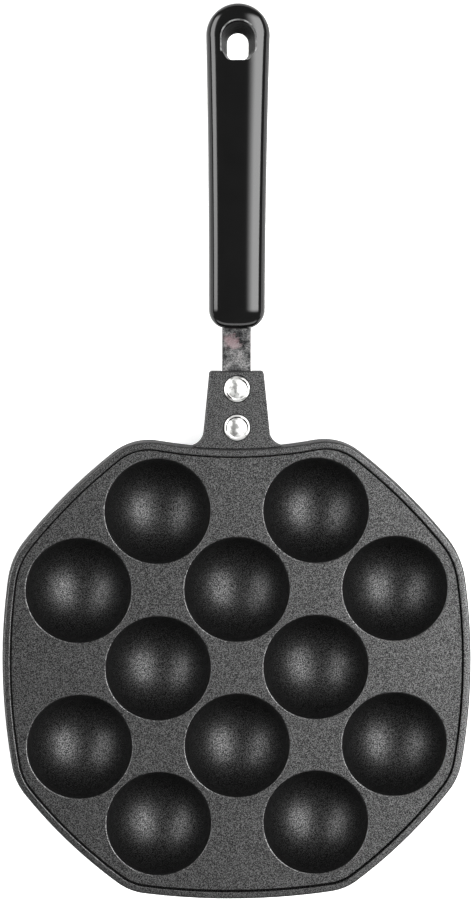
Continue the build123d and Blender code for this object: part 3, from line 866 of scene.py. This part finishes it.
# Bright zinc, barrel plated: a light grey metal with faint clouds and a soft shine
zinc = new_material("screw_zinc")
spot = add_node(zinc, "TexCoord").outputs["Object"]
cloud = add_node(zinc, "TexNoise", {"Vector": spot}, Scale=1 / (1.6 * MM), Detail=2.0)
cloudy = add_node(zinc, "ValToRGB", {"Fac": cloud.outputs["Fac"]}, [(0.35, "#9a9a98"), (0.65, "#c6c6c2")])
links = {"Base Color": cloudy.outputs["Color"]}
shader = add_node(zinc, "BsdfPrincipled", links, Metallic=1.0, Roughness=0.3)
add_node(zinc, "OutputMaterial", {"Surface": shader.outputs["BSDF"]})
dress(screw, zinc)
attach(screw, "root")
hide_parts("grip_screw")

# ---- Studio ------------------------------------------------------------------------------------
# A white table that glows a little, so that its shadows stay pale. Two soft boxes stand at the sides,
# four low strips all round light the edges, and nothing bright is overhead.

TABLE_RADIUS = 1.6
TABLE_GAP = 0.0002  # below the pan's feet
LIGHT_DISTANCE = 2.5
CAMERA_PLACE = (-44.1, 199.7, 1165.8)  # in the millimetres of the shapes
CAMERA_TURNS = (5.655, 2.137, 0.294)  # degrees about x, y and z
SENSOR_HIGH = 24.0
CAMERA_LENS = 81.777

table_mesh = bmesh.new()
bmesh.ops.create_circle(table_mesh, cap_ends=True, segments=96, radius=TABLE_RADIUS)
table = new_object("table_top", table_mesh)
table.location.z = -TABLE_GAP

# Matt white board: plain white, with a tone that varies over a third of a metre, too little to see
board = new_material("white_table")
spot = add_node(board, "TexCoord").outputs["Object"]
tone = add_node(board, "TexNoise", {"Vector": spot}, Scale=3 / (1000 * MM))
white = add_node(board, "ValToRGB", {"Fac": tone.outputs["Fac"]}, [(0.3, "#fcfcfc"), (0.7, "#ffffff")])
links = {"Base Color": white.outputs["Color"]}
shader = add_node(
    board,
    "BsdfPrincipled",
    links,
    Roughness=0.7,
    Emission_Color=linear("#ffffff"),
    Emission_Strength=0.42,
)
add_node(board, "OutputMaterial", {"Surface": shader.outputs["BSDF"]})
dress(table, board)


def soft_box(name, azimuth, elevation, width, height, power, fade=0.15):
    """An area light that is turned to the middle of the pan, at an azimuth in degrees from +X towards
    +Y. It fades out at its sides, and over a share of its height towards the top."""
    turn, lift = radians(azimuth), radians(elevation)
    aim = Vector((cos(turn) * cos(lift), sin(turn) * cos(lift), sin(lift)))
    light = bpy.data.lights.new(name, "AREA")
    light.shape, light.size, light.size_y, light.energy = "RECTANGLE", width, height, power
    light.use_nodes = True
    spot = add_node(light, "NewGeometry").outputs["Parametric"]
    parts = add_node(light, "SeparateXYZ", {"Vector": spot})
    edge = add_node(light, "Math", {0: parts.outputs["X"]}, operation="PINGPONG")
    edge.inputs[1].default_value = 0.5
    smooth = {"interpolation_type": "SMOOTHSTEP"}
    across = add_node(light, "MapRange", {"Value": edge.outputs[0]}, From_Max=0.2, **smooth)
    height_share = {"Value": parts.outputs["Y"]}
    up = add_node(light, "MapRange", height_share, From_Min=1.0, From_Max=1 - fade, **smooth)
    both = add_node(light, "Math", {0: across.outputs[0], 1: up.outputs[0]}, operation="MULTIPLY")
    emission = light.node_tree.nodes["Emission"]
    light.node_tree.links.new(emission.inputs["Strength"], both.outputs[0])
    lamp = bpy.data.objects.new(name, light)
    lamp.location = aim * LIGHT_DISTANCE
    lamp.rotation_euler = aim.to_track_quat("Z", "Y").to_euler()
    lamp.visible_camera = False
    bpy.context.scene.collection.objects.link(lamp)


soft_box("right_box", 6, 60, 3.2, 1.9, 190, fade=0.45)
soft_box("left_box", 169, 41.5, 3.2, 1.05, 82)
soft_box("right_strip", 0, 10, 4.2, 0.6, 22)
soft_box("left_strip", 180, 10, 4.2, 0.6, 18)
soft_box("back_strip", 90, 10, 4.2, 0.6, 22)
soft_box("front_strip", 270, 10, 4.2, 0.6, 22)

# A dim even sky, which fills the shadows
world = bpy.data.worlds.new("studio")
world.use_nodes = True
sky = world.node_tree.nodes["Background"]
sky.inputs["Color"].default_value = linear("#ffffff")
sky.inputs["Strength"].default_value = 0.27
bpy.context.scene.world = world
bpy.context.scene.view_settings.view_transform = "Standard"

# The camera looks almost straight down
camera = bpy.data.objects.new("camera", bpy.data.cameras.new("camera"))
camera.data.sensor_fit = "VERTICAL"
camera.data.sensor_height = SENSOR_HIGH
camera.data.lens = CAMERA_LENS
about_x, about_y, about_z = (
    Matrix.Rotation(radians(turn), 3, axis) for turn, axis in zip(CAMERA_TURNS, "XYZ")
)
view = (about_z @ about_y @ about_x).transposed()
camera.matrix_world = Matrix.Translation(TO_FRAME @ Vector(CAMERA_PLACE)) @ view.to_4x4()
bpy.context.scene.collection.objects.link(camera)
bpy.context.scene.camera = camera
